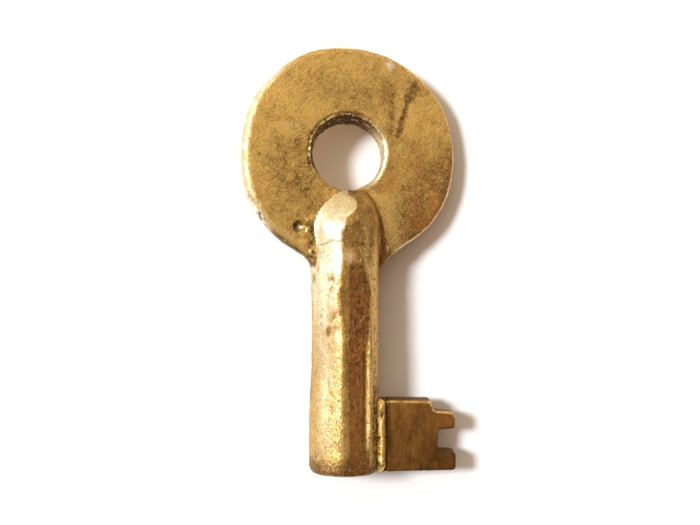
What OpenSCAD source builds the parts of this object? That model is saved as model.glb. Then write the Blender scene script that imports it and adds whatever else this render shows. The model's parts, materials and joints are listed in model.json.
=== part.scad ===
// A hollow-barrel railway switch key in brass. A ring bow sits in the forked head of a drilled barrel, and a
// stepped bit is let into the barrel's wall. Brazing beads and fillets hold the three together.
// The origin is the centre of the bore's mouth. +Y runs up the barrel to the bow, the bit is on the +X side
// and +Z is up. The key lies as it rests on a table: on the back of its barrel and one side of its bow.

/* [Bow] */
// Overall length, from the barrel's mouth to the top of the bow
key_l = 52; // [48:0.5:60]
// Outer diameter of the bow
bow_d = 26.6; // [22:0.1:29]
// Thickness of the bow
bow_t = 3.2; // [2.4:0.1:4.4]
// Rounding of the bow's outer edge, front and back
bow_edge_r = 0.8; // [0.3:0.05:1.1]
// How far the bow's round is set over from the barrel's axis, towards the bit's side
bow_offset = 0.4; // [0:0.05:1]
// Diameter of the hanging hole through the bow, which is on the barrel's axis
bow_hole_d = 9; // [7:0.1:10]
// How far the hole's centre lies above the centre of the bow's round
hole_rise = 0.4; // [0:0.05:0.6]
// Chamfer of the hole's rim, front and back
hole_chamfer = 0.35; // [0.2:0.05:0.8]

/* [Barrel] */
// Outer diameter of the barrel
barrel_d = 8.6; // [7.5:0.1:10]
// Diameter of the bore that slides over the lock's post
bore_d = 5.2; // [4:0.1:5.6]
// Depth of the bore's straight wall, from the mouth
bore_depth = 20; // [14:0.5:22]
// Full angle of the drill point at the bottom of the bore
drill_angle = 118; // [90:1:140]
// Countersink at the mouth of the bore
mouth_chamfer = 0.3; // [0.1:0.05:0.5]
// Rounding of the barrel's outer edge at the mouth
mouth_edge_r = 1; // [0.3:0.05:1.1]
// Gap between the barrel's domed head and the wall of the hanging hole
head_gap = 0.1; // [0.1:0.05:1]

/* [Bit] */
// How far the bit stands out of the barrel's side
bit_reach = 9.4; // [7:0.05:11]
// Height of the bit along the barrel
bit_h = 8.6; // [7.5:0.05:11]
// Thickness of the bit
bit_t = 2.4; // [1.8:0.1:3]
// Distance from the barrel's mouth up to the bit
bit_setback = 0.1; // [0.1:0.05:2]
// Angle that the bit is twisted up out of the bow's plane
bit_twist = 8; // [0:0.5:10]
// Barrel wall left between the bit's tongue and the bore
tongue_web = 0.5; // [0.3:0.05:0.8]
// Width of the step in the bit's upper outer corner
step_w = 3.2; // [2.5:0.05:4]
// Height of that step
step_h = 1.25; // [0.5:0.05:1.5]
// Height of the tooth below the ward cut
lower_tooth_h = 2.25; // [1.8:0.05:3]
// Height of the ward cut between the two teeth
ward_h = 2.7; // [1.5:0.05:3]
// Depth of the ward cut
ward_depth = 2.3; // [1.5:0.05:2.5]
// Rounding of the bit's outer corners
bit_corner_r = 0.5; // [0.2:0.05:0.6]

/* [Brazing] */
// Capillary gap between brazed faces
braze_gap = 0.05; // [0.02:0.01:0.1]
// Radius of the beads along the root of the bit
bead_r = 0.7; // [0.4:0.05:0.9]
// Radius of the hollow fillet between the bow and the barrel, on the bit's side
right_fillet_r = 2.2; // [1.5:0.1:4]
// Radius of the hollow fillet on the other side
left_fillet_r = 1.6; // [1:0.1:4]
// How far each fillet's face lies below the bow's face
fillet_inset = 0.25; // [0.1:0.05:0.5]
// Thickness of each fillet's blunt toes on the barrel and the bow
fillet_toe = 0.15; // [0.05:0.05:0.3]

/* [Hidden] */
$fn = 240;

brass = [0.72, 0.55, 0.28];
worn_brass = [0.80, 0.64, 0.34];
dark_brass = [0.50, 0.34, 0.16];
braze = [0.86, 0.66, 0.30];

bow_r = bow_d / 2;
bow_y = key_l - bow_r;
hole_y = bow_y + hole_rise;
hole_r = bow_hole_d / 2;
barrel_r = barrel_d / 2;
bore_r = bore_d / 2;
bit_tip = barrel_r + bit_reach;
bit_root = bore_r + tongue_web;
tooth_top = bit_h - step_h;
ward_top = lower_tooth_h + ward_h;

// The domed head is a ball end. Its cheeks start at the faces of the bow and stop just short of the hole's rim.
cheek_z = bow_t / 2;
head_top = hole_y - hole_r - hole_chamfer - head_gap;
head_y = head_top - sqrt(barrel_r ^ 2 - cheek_z ^ 2);

// Height of the corner between the bit's face and the round of the barrel, seen along the barrel.
corner_z = bit_t / 2;
corner_x = sqrt(barrel_r ^ 2 - corner_z ^ 2);

// The key rolls about its barrel until the bow's rounded rim, or else the bit's tip, meets the table.
function touch_angle(reach, drop, clear) = asin(clear / norm([reach, drop])) - atan2(drop, reach);
bow_roll = touch_angle(bow_r + bow_offset - bow_edge_r, bow_t / 2 - bow_edge_r, barrel_r - bow_edge_r);
bit_roll = touch_angle(bit_tip, bit_t / 2, barrel_r) + bit_twist;
roll = min(bow_roll, bit_roll);

// Lays the key down in its resting pose.
module lying() {
    rotate([0, roll, 0]) children();
}

// Turns the bit and what belongs to it out of the bow's plane.
module twisted() {
    rotate([0, -bit_twist, 0]) children();
}

// Turns a form made along +Z so that it runs along the barrel.
module along_barrel() {
    rotate([-90, 0, 0]) children();
}

// The bow's outer form without its hole, grown by a clearance.
module bow_blank(grow) {
    edge = bow_edge_r + grow;
    flat_r = bow_r + grow - edge;
    h = bow_t / 2 + grow;
    translate([bow_offset, bow_y, 0]) rotate_extrude() {
        for (side = [-1, 1]) intersection() {
            translate([flat_r, side * (h - edge)]) circle(r = edge);
            translate([flat_r, -h]) square([edge, 2 * h]);
        }
        translate([0, -h]) square([flat_r, 2 * h]);
        translate([flat_r, edge - h]) square([edge, 2 * (h - edge)]);
    }
}

// The hanging hole with a chamfer at each face.
module bow_hole() {
    over = 1;
    flare = hole_chamfer + over;
    translate([0, hole_y, 0]) {
        cylinder(r = hole_r, h = bow_t + 2 * over, center = true);
        for (turn = [0, 180]) rotate([turn, 0, 0]) translate([0, 0, bow_t / 2 - hole_chamfer])
            cylinder(r1 = hole_r, r2 = hole_r + flare, h = flare);
    }
}

module bow() {
    color(brass) lying() difference() {
        bow_blank(0);
        bow_hole();
    }
}

// The barrel as turned: a round bar with a rounded mouth edge and a ball end.
module barrel_blank() {
    along_barrel() rotate_extrude() intersection() {
        union() {
            translate([barrel_r - mouth_edge_r, mouth_edge_r]) circle(r = mouth_edge_r);
            square([barrel_r - mouth_edge_r, mouth_edge_r]);
            translate([0, mouth_edge_r]) square([barrel_r, head_y - mouth_edge_r]);
            translate([0, head_y]) circle(r = barrel_r);
        }
        square([barrel_r, head_y + barrel_r]);
    }
}

// The drilled bore with its countersunk mouth and its drill point.
module bore() {
    over = 1;
    point_h = bore_r / tan(drill_angle / 2);
    along_barrel() {
        translate([0, 0, -over]) cylinder(r = bore_r, h = bore_depth + over);
        translate([0, 0, bore_depth]) cylinder(r1 = bore_r, r2 = 0, h = point_h);
        cylinder(r1 = bore_r + mouth_chamfer, r2 = bore_r, h = mouth_chamfer);
    }
}

// The head's fork: the bow's own form, carried on upwards so that the barrel slides onto the bow's rim.
module fork() {
    bow_blank(braze_gap);
    translate([-barrel_r, bow_y - bow_r / 2, -cheek_z - braze_gap])
        cube([barrel_d, bow_r, bow_t + 2 * braze_gap]);
}

// The slot in the barrel's wall that takes the bit's tongue. It is open at the mouth.
module bit_slot() {
    over = 1;
    twisted() translate([bit_root - braze_gap, -over, -bit_t / 2 - braze_gap])
        cube([barrel_r, over + bit_setback + bit_h + braze_gap, bit_t + 2 * braze_gap]);
}

module barrel() {
    color(worn_brass) lying() difference() {
        barrel_blank();
        bore();
        fork();
        bit_slot();
    }
}

// A rectangle in the bit's outline whose two outer corners can each be rounded.
module tooth(x0, x1, y0, y1, r_low, r_high) {
    translate([x0, y0]) square([x1 - x0 - max(r_low, r_high), y1 - y0]);
    translate([x0, y0 + r_low]) square([x1 - x0, y1 - y0 - r_low - r_high]);
    if (r_low > 0) translate([x1 - r_low, y0 + r_low]) circle(r = r_low);
    if (r_high > 0) translate([x1 - r_high, y1 - r_high]) circle(r = r_high);
}

module bit_outline() {
    shoulder_x = bit_tip - step_w;
    ward_x = bit_tip - ward_depth;
    tooth(bit_root, shoulder_x, 0, bit_h, 0, bit_corner_r);
    translate([shoulder_x - bit_corner_r, 0]) square([ward_x - shoulder_x + bit_corner_r, tooth_top]);
    tooth(ward_x - bit_corner_r, bit_tip, 0, lower_tooth_h, bit_corner_r, bit_corner_r);
    tooth(ward_x - bit_corner_r, bit_tip, ward_top, tooth_top, bit_corner_r, bit_corner_r);
}

// The bit's plate, in place on the barrel.
module bit_plate() {
    translate([0, bit_setback, -bit_t / 2]) linear_extrude(bit_t) bit_outline();
}

module bit() {
    color(dark_brass) lying() twisted() bit_plate();
}

// A bead of braze in the corner between the bit's face and the barrel, on the front (1) or the back (-1).
module bit_bead(side) {
    bead_l = bit_h - 2 * bead_r;
    color(braze) lying() twisted() difference() {
        translate([corner_x, bit_setback + bead_r, side * corner_z]) {
            along_barrel() cylinder(r = bead_r, h = bead_l);
            sphere(r = bead_r);
            translate([0, bead_l, 0]) sphere(r = bead_r);
        }
        along_barrel() cylinder(r = barrel_r, h = key_l);
        translate([0, 0, -bit_t / 2]) cube([bit_tip, key_l, bit_t]);
    }
}

// A hollow braze fillet in the corner between the bow's rim and the barrel, on the right (1) or the left (-1).
// Its curve runs along the barrel's side and the bow's rim and ends in a blunt toe on each.
module neck_fillet(side, r) {
    off = side * bow_offset;
    reach = bow_r + fillet_toe + r;
    centre_x = barrel_r + fillet_toe + r;
    centre_y = bow_y - sqrt(reach ^ 2 - (centre_x - off) ^ 2);
    rim_x = off + (centre_x - off) * bow_r / reach;
    rim_y = bow_y + (centre_y - bow_y) * bow_r / reach;
    fillet_t = bow_t - 2 * fillet_inset;
    color(braze) lying() difference() {
        on_side(side) translate([0, 0, -fillet_t / 2]) linear_extrude(fillet_t) difference() {
            polygon([[0, centre_y], [centre_x, centre_y], [rim_x, rim_y], [0, bow_y]]);
            translate([centre_x, centre_y]) circle(r = r);
        }
        along_barrel() cylinder(r = barrel_r, h = key_l);
        bow_blank(0);
    }
}

// Keeps a form made on the right, or mirrors it to the left.
module on_side(side) {
    if (side > 0) children();
    else mirror([1, 0, 0]) children();
}

bow();
barrel();
bit();
bit_bead(1);  // bit_bead_front
bit_bead(-1);  // bit_bead_back
neck_fillet(1, right_fillet_r);  // neck_fillet_right
neck_fillet(-1, left_fillet_r);  // neck_fillet_left
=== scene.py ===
"""Looks of a worn brass switch key, laid out as a Blender add-on and run as a script.

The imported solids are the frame. Each piece here is a closed mesh that stands for one of them. Its form is
written as a distance field in the key's own frame, in millimetres: X to the bit, Y up the barrel, Z out of
the front. The field is meshed, settled onto its surface and turned into the frame that the key lies in.
"""

import json
import math
from functools import partial, reduce
from types import SimpleNamespace

import bpy
import numpy as np
from bpy.props import FloatProperty, FloatVectorProperty, IntProperty, PointerProperty
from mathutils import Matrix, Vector


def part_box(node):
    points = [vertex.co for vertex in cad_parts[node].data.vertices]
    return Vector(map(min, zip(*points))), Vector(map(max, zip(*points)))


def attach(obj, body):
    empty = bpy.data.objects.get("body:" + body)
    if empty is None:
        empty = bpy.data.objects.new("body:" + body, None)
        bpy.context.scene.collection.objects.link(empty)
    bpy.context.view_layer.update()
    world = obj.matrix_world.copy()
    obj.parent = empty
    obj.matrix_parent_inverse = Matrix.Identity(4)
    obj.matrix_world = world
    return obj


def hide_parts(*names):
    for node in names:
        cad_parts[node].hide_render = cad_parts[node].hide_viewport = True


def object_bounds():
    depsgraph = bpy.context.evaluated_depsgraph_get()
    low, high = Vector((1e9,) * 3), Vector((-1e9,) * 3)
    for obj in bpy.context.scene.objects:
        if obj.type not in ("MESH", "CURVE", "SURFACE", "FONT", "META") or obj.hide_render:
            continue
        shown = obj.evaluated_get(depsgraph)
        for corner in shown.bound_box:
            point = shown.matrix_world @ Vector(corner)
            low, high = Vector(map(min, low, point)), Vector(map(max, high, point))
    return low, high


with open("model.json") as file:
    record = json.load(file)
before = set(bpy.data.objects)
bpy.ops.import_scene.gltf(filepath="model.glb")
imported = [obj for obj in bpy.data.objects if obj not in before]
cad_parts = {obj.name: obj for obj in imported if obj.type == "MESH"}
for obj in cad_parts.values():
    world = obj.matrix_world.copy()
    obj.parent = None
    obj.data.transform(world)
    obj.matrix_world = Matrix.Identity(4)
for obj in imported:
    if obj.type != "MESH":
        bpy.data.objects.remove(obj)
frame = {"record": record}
CAD_LOW, CAD_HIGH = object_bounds()

bl_info = {
    "name": "Brass switch key",
    "version": (1, 0, 0),
    "blender": (4, 5, 0),
    "location": "View3D > Sidebar > Switch Key",
    "description": "Builds a worn brass switch key round its packed solids",
    "category": "Add Mesh",
}

MOUNTS = {mount["name"]: mount for mount in frame["record"]["mounts"]}
HOLE = MOUNTS["bow_hole"]
BORE = MOUNTS["barrel_bore"]
ROLL = math.atan2(HOLE["axis"][0], HOLE["axis"][2])
BOW_LOW, BOW_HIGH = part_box("bow")
BARREL_LOW, BARREL_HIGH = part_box("barrel")
BIT_LOW, BIT_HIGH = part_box("bit")

# Swellings (below 0) and flats (above 0) round the bow's rim: where, in degrees, how wide and how deep
BOW_FLATS = (
    (112, 13, -0.30),
    (131, 13, -0.20),
    (151, 14, -0.30),
    (200, 12, -0.13),
    (-57, 11, 0.40),
    (-43, 9, 0.08),
    (30, 14, -0.18),
)
# Wear of the hanging hole's wall, in the same way
HOLE_WEAR = (
    (-122, 14, 0.18),
    (-88, 13, 0.46),
    (-46, 14, 0.12),
    (10, 30, 0.16),
    (60, 30, 0.04),
    (150, 24, 0.06),
)
# How far the hole leans over between the bow's faces, to the right and down
HOLE_LEAN = (0.26, -0.42)
# Groove that parts the barrel's head from the bow on its right: heights, and how far out it runs there
GROOVE_Y = (27.0, 28.6, 30.8, 32.0, 33.1, 34.1)
GROOVE_X = (4.80, 4.45, 4.02, 3.52, 2.95, 2.35)
# Pits in the bow's face: place, radius and depth
BOW_PITS = (
    (-6.1, 30.1, 0.68, 0.5),
    (-5.35, 29.75, 0.2, 0.2),
    (-6.9, 29.2, 0.14, 0.1),
    (9.2, 37.4, 0.12, 0.06),
    (-9.6, 43.6, 0.13, 0.07),
    (-3.3, 48.6, 0.11, 0.05),
)
# Patches of thicker film (above 0) or rubbed film (below 0) on the bow's face: how much, place and reach
BOW_FILM = (
    (0.25, -3.5, 32.0, 2.2, 2.0),
    (0.30, 0.5, 46.6, 6.5, 1.8),
    (-0.16, 7.5, 44.0, 3.0, 3.0),
    (0.28, 4.2, 35.3, 1.2, 1.1),
    (0.28, 5.6, 37.6, 1.0, 1.6),
    (-0.6, -7.96, 41.9, 0.9, 0.7),
    (-0.20, -8.0, 45.6, 3.0, 2.6),
)
# Flats along the barrel: angle from the bow's face, depth, edge, waviness, and where they run out at the top
BARREL_FLATS = (
    (12.1, 0.264, 0.10, 0.05, (23.8, 26.2)),
    (74.0, 0.10, 0.35, 0.03, (24.5, 28.4)),
)
# Ridge where the rubbed side meets the first of its flats: heights, and its angle from straight up there
RIDGE_Y = (0.0, 7.0, 11.4, 13.9, 17.2, 19.6, 21.6, 23.6, 25.8, 28.4)
RIDGE_TURN = (-1.0, -1.7, -4.9, -3.3, -4.4, -8.0, -13.5, -8.7, -3.5, -4.0)
RIDGE_FACING = 8.7
# Raised crease right of those flats: heights, and its angle from straight up there
CREASE_Y = (0.0, 6.0, 11.2, 16.4, 21.2, 23.3, 24.8, 26.6, 27.4)
CREASE_TURN = (44.5, 45.5, 46.2, 46.4, 47.4, 46.0, 39.9, 30.0, 26.0)
# Filed facet of the barrel's head: which way it faces, and how far it is from the ball's centre
FACET_WAY = (-0.42, 0.47, 0.776)
FACET_STAND = 0.868
# Dents in the barrel's front: place, radius and depth
BARREL_DENTS = (
    (-1.75, 23.3, 0.5, 0.06),
    (-1.2, 18.8, 0.7, 0.07),
    (1.2, 18.4, 0.5, 0.06),
    (0.3, 11.6, 0.4, 0.05),
    (2.0, 6.2, 0.35, 0.05),
    (-2.3, 7.8, 0.5, 0.05),
    (-2.0, 3.2, 0.6, 0.06),
)
# Scratches on the barrel's front, from one end to the other
BARREL_SCRATCHES = (
    ((-0.7, 16.4), (0.3, 17.8)),
    ((0.5, 17.9), (1.5, 19.2)),
    ((-3.0, 4.1), (-3.9, 1.8)),
    ((-2.5, 9.9), (-1.8, 9.2)),
    ((-2.9, 12.8), (-2.5, 13.7)),
    ((0.2, 9.5), (0.6, 8.0)),
)
# Red patches on the barrel's rubbed side: angle from straight up, height and reach
BARREL_WORN = ((-23, 23.3, 7, 1.0), (-17, 18.9, 12, 1.2), (-31, 17.4, 6, 0.6))
# The barrel's fork and bore: height where the fork opens right across, slope of the drill's point, chamfer
FORK_OPEN = 31.0
DRILL_WAY = (0.857, 0.515)
BORE_CHAMFER = 0.3
# The bit's stepped corner and ward cut, from its tip and from its upper or lower edge
STEP_LONG = 3.15
STEP_DEEP = 1.25
WARD_LOW = 2.25
WARD_WIDE = 2.7
WARD_DEEP = 2.4
# Runs of braze: names and sides, the radius of each fillet, and the height that the fillets start from
BIT_BEADS = (("front", 1), ("back", -1))
NECK_FILLETS = (("right", 1, 2.2), ("left", -1, 1.6))
FILLET_LOW = 23.2
# How far a form stays back from its solid's faces, and a cut stands off from what sits in it
INSET = 0.02
# Large pit in the beads: how far out from the bit's root, and its height
BEAD_PIT = (0.25, 7.1)
# Meshing, with lengths in millimetres: grid steps of the smaller forms, settling and the search for edges
BIT_STEP = 0.11
BEAD_STEP = 0.06
FILLET_STEP = 0.08
SETTLE_ROUNDS = 4
SLOPE_REACH = 0.02
LONGEST_MOVE = 0.12
BEND_REACH = 0.25
# Layers of noise in each grain
GRAIN_LAYERS = 3
# Wear masks that each mesh carries, in the order that they are painted in. The last two also carry painted
# shade and painted highlights, in that order.
MASKS = ("film", "copper", "dirt", "bright")
# Kinds of socket, the colours of a finish, and how the two sets of fine scratches lean
COLOUR = "NodeSocketColor"
NUMBER = "NodeSocketFloat"
VECTOR = "NodeSocketVector"
COLOURS = ("Clean", "Rubbed", "Tarnish", "Copper", "Grime")
SCRATCH_TURNS = (0.35, -0.8)
# Stage: half of the table's side, the ways to the window and to the room's bright side, and the camera
TABLE_HALF = 3.0
WINDOW_WAY = (-0.951, 0.309)
BRIGHT_WAY = (-0.62, 0.70, 0.30)
SENSOR_WIDTH = 36.0
CAMERA_OVER = (0.000588, 0.02573)


def metres(name, description, default):
    """A property for a length."""
    return FloatProperty(name=name, description=description, default=default, unit="LENGTH")


def degrees(name, description, default):
    """A property for an angle, whose default is given in degrees."""
    return FloatProperty(name=name, description=description, default=math.radians(default), subtype="ANGLE")


def rgb(name, description, *default):
    """A property for a colour."""
    return FloatVectorProperty(name=name, description=description, size=3, default=default, subtype="COLOR")


class KeySizes(bpy.types.PropertyGroup):
    """Sizes of the key that the forms are drawn from."""

    bow_diameter: metres("Bow diameter", "Across the round grip", BOW_HIGH.y - BOW_LOW.y)
    bow_thickness: metres("Bow thickness", "Between the bow's two faces", 0.0032)
    bow_offset: metres("Bow offset", "How far the bow's round is set over towards the bit", 0.0004)
    barrel_diameter: metres("Barrel diameter", "Outside of the drilled shank", BARREL_HIGH.x - BARREL_LOW.x)
    bit_reach: metres("Bit reach", "From the barrel's axis to the bit's tip", 0.0137)
    bit_twist: degrees("Bit twist", "How far the bit is turned up out of the bow's plane", 8)
    bit_thickness: metres("Bit thickness", "Between the bit's two faces", 0.0024)
    bead_radius: metres("Bead radius", "Of the braze along the root of the bit", 0.0007)
    mesh_step: metres("Mesh step", "Grid step that the two large forms are meshed at", 0.00014)
    seed: IntProperty(name="Wear seed", description="Picks the pattern of dents and stains", default=7)


class KeyFinish(bpy.types.PropertyGroup):
    """Colours of the brass and of what has settled on it. The rubbed, rubbed bit edge and grime colours also
    paint highlights and shade.
    """

    bow_clean: rgb("Bow brass", "Handled brass of the bow", 0.87, 0.548, 0.142)
    barrel_clean: rgb("Barrel brass", "Filed and handled brass of the barrel", 0.77, 0.485, 0.13)
    bit_clean: rgb("Bit brass", "Darker brass of the bit", 0.52, 0.24, 0.055)
    braze: rgb("Braze", "Bright yellow braze metal", 0.93, 0.60, 0.13)
    # This pale colour is also the colour of painted highlights: on the bow's left rim and wall, just inside
    # its rim under the neck, on its upper right edge, the hole's right side, two glints, the barrel's left
    # side, crease and filed facet, the head's left and the beads.
    rubbed: rgb("Rubbed brass", "Pale brass where the hand or a file has rubbed it bright", 0.96, 0.88, 0.66)
    tarnish: rgb("Tarnish", "Brown film where the hand does not rub", 0.29, 0.135, 0.04)
    barrel_tarnish: rgb("Barrel tarnish", "Redder film on the barrel's flats", 0.25, 0.108, 0.029)
    # This colour is also a painted highlight along the bit's upper edges and tooth ends, which face the
    # light.
    bit_rubbed: rgb("Rubbed bit edge", "Yellow brass along the upper edges of the bit", 0.92, 0.58, 0.19)
    bit_tarnish: rgb("Bit tarnish", "Thicker film on the bit", 0.115, 0.048, 0.013)
    copper: rgb("Copper stain", "Red stain where the zinc has gone", 0.52, 0.20, 0.052)
    # This colour is also the colour of painted shade: on the rim wall under the neck, the hole's upper left
    # wall, the bit's top wall and lower edges and the barrel's lower end.
    grime: rgb("Grime", "Dirt packed into corners and pits", 0.085, 0.044, 0.018)


class KeyStage(bpy.types.PropertyGroup):
    """Floor, light and camera."""

    window_strength: FloatProperty(
        name="Window light",
        description="Strength of the soft light from the upper left",
        default=3.6,
    )
    window_elevation: degrees("Window height", "How high the light stands over the table", 52)
    window_spread: degrees("Window spread", "How wide the light looks from the table", 12.5)
    window_tint: rgb("Window tint", "Colour of that light", 0.87, 0.965, 1.0)
    bright_side: rgb("Bright side", "Light from the window's half of the room", 0.82, 0.66, 0.48)
    dark_side: rgb("Dark side", "Light from the other half of the room", 0.11, 0.06, 0.035)
    window_wall: rgb("Window wall", "Light from close round the window", 1.18, 1.12, 0.85)
    low_band: rgb("Low band", "Pale band that stands round the table, low over it", 0.50, 0.39, 0.30)
    table: rgb("Table", "White sheet that the key lies on", 0.87, 0.83, 0.85)
    camera_height: metres("Camera height", "From the barrel's axis up to the lens", 0.112)
    view_width: metres("View width", "Width that the picture takes in at the barrel's axis", 0.0866)


def key_sizes():
    """The sizes in millimetres, with the ones that follow from them."""
    sizes = bpy.context.scene.key_sizes
    k = SimpleNamespace()
    k.seed = sizes.seed
    k.step = sizes.mesh_step * 1000
    k.twist = sizes.bit_twist
    k.bow_r = sizes.bow_diameter * 500
    k.bow_half = sizes.bow_thickness * 500
    k.bow_x = sizes.bow_offset * 1000
    k.bow_y = (BOW_LOW.y + BOW_HIGH.y) * 500
    k.hole_r = HOLE["dims"]["r_mm"]
    k.hole_y = HOLE["pos_m"][1] * 1000
    k.barrel_r = sizes.barrel_diameter * 500
    k.bore_r = BORE["dims"]["r_mm"]
    k.bore_deep = BORE["dims"]["length_mm"] + BORE["pos_m"][1] * 1000
    k.foot_r = math.sqrt(k.barrel_r**2 - k.bow_half**2)
    k.head_y = BARREL_HIGH.y * 1000 - k.foot_r + 0.3
    k.bit_tip = sizes.bit_reach * 1000
    k.bit_root = k.bore_r + 0.5
    k.bit_low = BIT_LOW.y * 1000
    k.bit_high = BIT_HIGH.y * 1000
    k.bit_half = sizes.bit_thickness * 500
    k.bead_r = sizes.bead_radius * 1000
    k.corner_x = math.sqrt(k.barrel_r**2 - k.bit_half**2)
    return k


# Noise and mixing

def ease(low, high, value):
    """Eases from 0 at low to 1 at high."""
    t = np.clip((value - low) / (high - low), 0.0, 1.0)
    return t * t * (3.0 - 2.0 * t)


def band(value, start, low, high, end):
    """1 from low to high, easing to 0 at start and end."""
    return ease(start, low, value) * ease(end, high, value)


def lattice(ix, iy, iz, seed):
    """A fixed random value from -1 to 1 for each whole-number place."""
    with np.errstate(over="ignore"):
        h = np.uint32((seed * 3266489917) % 2**32)
        for place, factor in ((ix, 374761393), (iy, 668265263), (iz, 2246822519)):
            h = h + place.astype(np.uint32) * np.uint32(factor)
        for shift, factor in ((13, 1274126177), (16, 2654435769)):
            h = (h ^ (h >> np.uint32(shift))) * np.uint32(factor)
        h = h ^ (h >> np.uint32(15))
    return h.astype(np.float64) / 2**31 - 1.0


def lumps(x, y, z, size, seed):
    """Smooth random lumps of about that size, from -1 to 1."""
    x, y, z = np.broadcast_arrays(x / size, y / size, z / size)
    ix, iy, iz = (np.floor(v).astype(np.int64) for v in (x, y, z))
    fx, fy, fz = (v - i for v, i in ((x, ix), (y, iy), (z, iz)))
    wx, wy, wz = (f * f * f * (f * (f * 6 - 15) + 10) for f in (fx, fy, fz))
    total = 0.0
    for dx in (0, 1):
        for dy in (0, 1):
            for dz in (0, 1):
                weight = (wx if dx else 1 - wx) * (wy if dy else 1 - wy) * (wz if dz else 1 - wz)
                total += weight * lattice(ix + dx, iy + dy, iz + dz, seed)
    return total


def grain(x, y, z, size, seed):
    """Lumps on lumps, each layer half as large and half as high."""
    total = 0.0
    for layer in range(GRAIN_LAYERS):
        total += lumps(x, y, z, size / 2**layer, seed + 31 * layer) / 2**layer
    return total / 1.6


def peak(value, at, wide):
    """A soft bump round one value, 1 at its top."""
    return np.exp(-(((value - at) / wide) ** 2))


def spot(x, y, at_x, at_y, wide, high):
    """A soft round patch on a face."""
    return np.exp(-((x - at_x) / wide) ** 2 - ((y - at_y) / high) ** 2)


def streak(x, y, start, end, wide):
    """A soft patch along a line between two points on a face."""
    along = np.subtract(end, start)
    length = np.hypot(*along)
    ux, uy = along / length
    t = np.clip((x - start[0]) * ux + (y - start[1]) * uy, 0, length)
    away = np.hypot(x - start[0] - t * ux, y - start[1] - t * uy)
    return peak(away, 0.0, wide)


def highest(*layers):
    """The highest of several layers at each place."""
    return reduce(np.maximum, layers)


def bearing(up, right):
    """Angle of a direction, in degrees."""
    return np.degrees(np.arctan2(up, right))


def wear(start, angle, marks):
    """A start value with what each mark round a circle adds to it."""
    for at, wide, deep in marks:
        start += deep * peak((angle - at + 180) % 360 - 180, 0.0, wide)
    return start


# Forms as distance fields

def rounded(a, b, edge, power=2.0):
    """Both fields at once, with the outside corner between them rounded, more gently at a higher power."""
    u = np.maximum(a + edge, 0.0)
    v = np.maximum(b + edge, 0.0)
    corner = (u**power + v**power) ** (1 / power)
    return np.minimum(np.maximum(a, b) + edge, 0.0) + corner - edge


def filled(a, b, edge):
    """Either field, with the inside corner between them filled."""
    u = np.maximum(edge - a, 0.0)
    v = np.maximum(edge - b, 0.0)
    return np.maximum(np.minimum(a, b), edge) - np.hypot(u, v)


def bow_outline(k, x, y):
    """Distance outside the bow's round, with the flats that wear and filing have left on it."""
    dx = x - k.bow_x
    dy = y - k.bow_y
    angle = bearing(dy, dx)
    return np.hypot(dx, dy) - k.bow_r + wear(INSET, angle, BOW_FLATS)


def hole_outline(k, x, y, z):
    """Distance inside the hanging hole's wall. The hole leans over towards the back."""
    lean = ease(1.5, -0.8, z)
    dx = x - HOLE_LEAN[0] * lean
    dy = y - k.hole_y - HOLE_LEAN[1] * lean
    angle = bearing(dy, dx)
    return wear(k.hole_r - 0.12, angle, HOLE_WEAR) - np.hypot(dx, dy)


def hole_right(k, x, y):
    """The right side of the hanging hole, where a ring or chain has worn its edge round."""
    return ease(85, 25, np.abs(bearing(y - k.hole_y, x) + 8))


def head_outline(k, x, y):
    """Distance outside the foot of the barrel's head on the bow's face, and the side it is on, in degrees."""
    off = np.hypot(x + 0.08, np.maximum(y - k.head_y, 0.0)) - k.foot_r
    return off, bearing(y - k.head_y, x)


def head_right(side):
    """The right side of the barrel's head, where a groove parts it from the bow's face."""
    return band(side, -75, -45, 48, 70)


def head_left(side):
    """The left side of the barrel's head, where the seam to the bow's face is rough."""
    return band(side % 360, 165, 185, 245, 266)


def head_groove(x, y):
    """How far right of the groove beside the head a place is, and where there is a groove at all."""
    past = x - np.interp(y, GROOVE_Y, GROOVE_X)
    return past, band(y, 26.6, 27.6, 33.7, 34.5) * ease(-1.5, -0.6, past)


def bow_form(k, x, y, z):
    """The flat ring of the bow, rounder where a hand has worn it, square where it meets the neck."""
    turn = bearing(y - k.bow_y, x - k.bow_x)
    worn = ease(75, 20, np.abs((turn - 194 + 180) % 360 - 180)) * ease(-0.5, 0.8, z)
    neck = ease(31, 22, np.abs(turn + 90))
    edge = (0.72 + 0.56 * worn) * (1 - neck) + 0.05 * neck
    body = rounded(bow_outline(k, x, y), np.abs(z) - k.bow_half + INSET, edge, 2.3 + 0.4 * worn)
    return rounded(body, hole_outline(k, x, y, z), 0.22 + 0.5 * hole_right(k, x, y))


def bow_swell(k, x, y, z):
    """Slow unevenness of the bow and of the neck that runs on from it, as height."""
    return 0.04 * lumps(x, y, z, 5.5, k.seed) + 0.022 * grain(x, y, z, 1.3, k.seed + 1)


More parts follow.
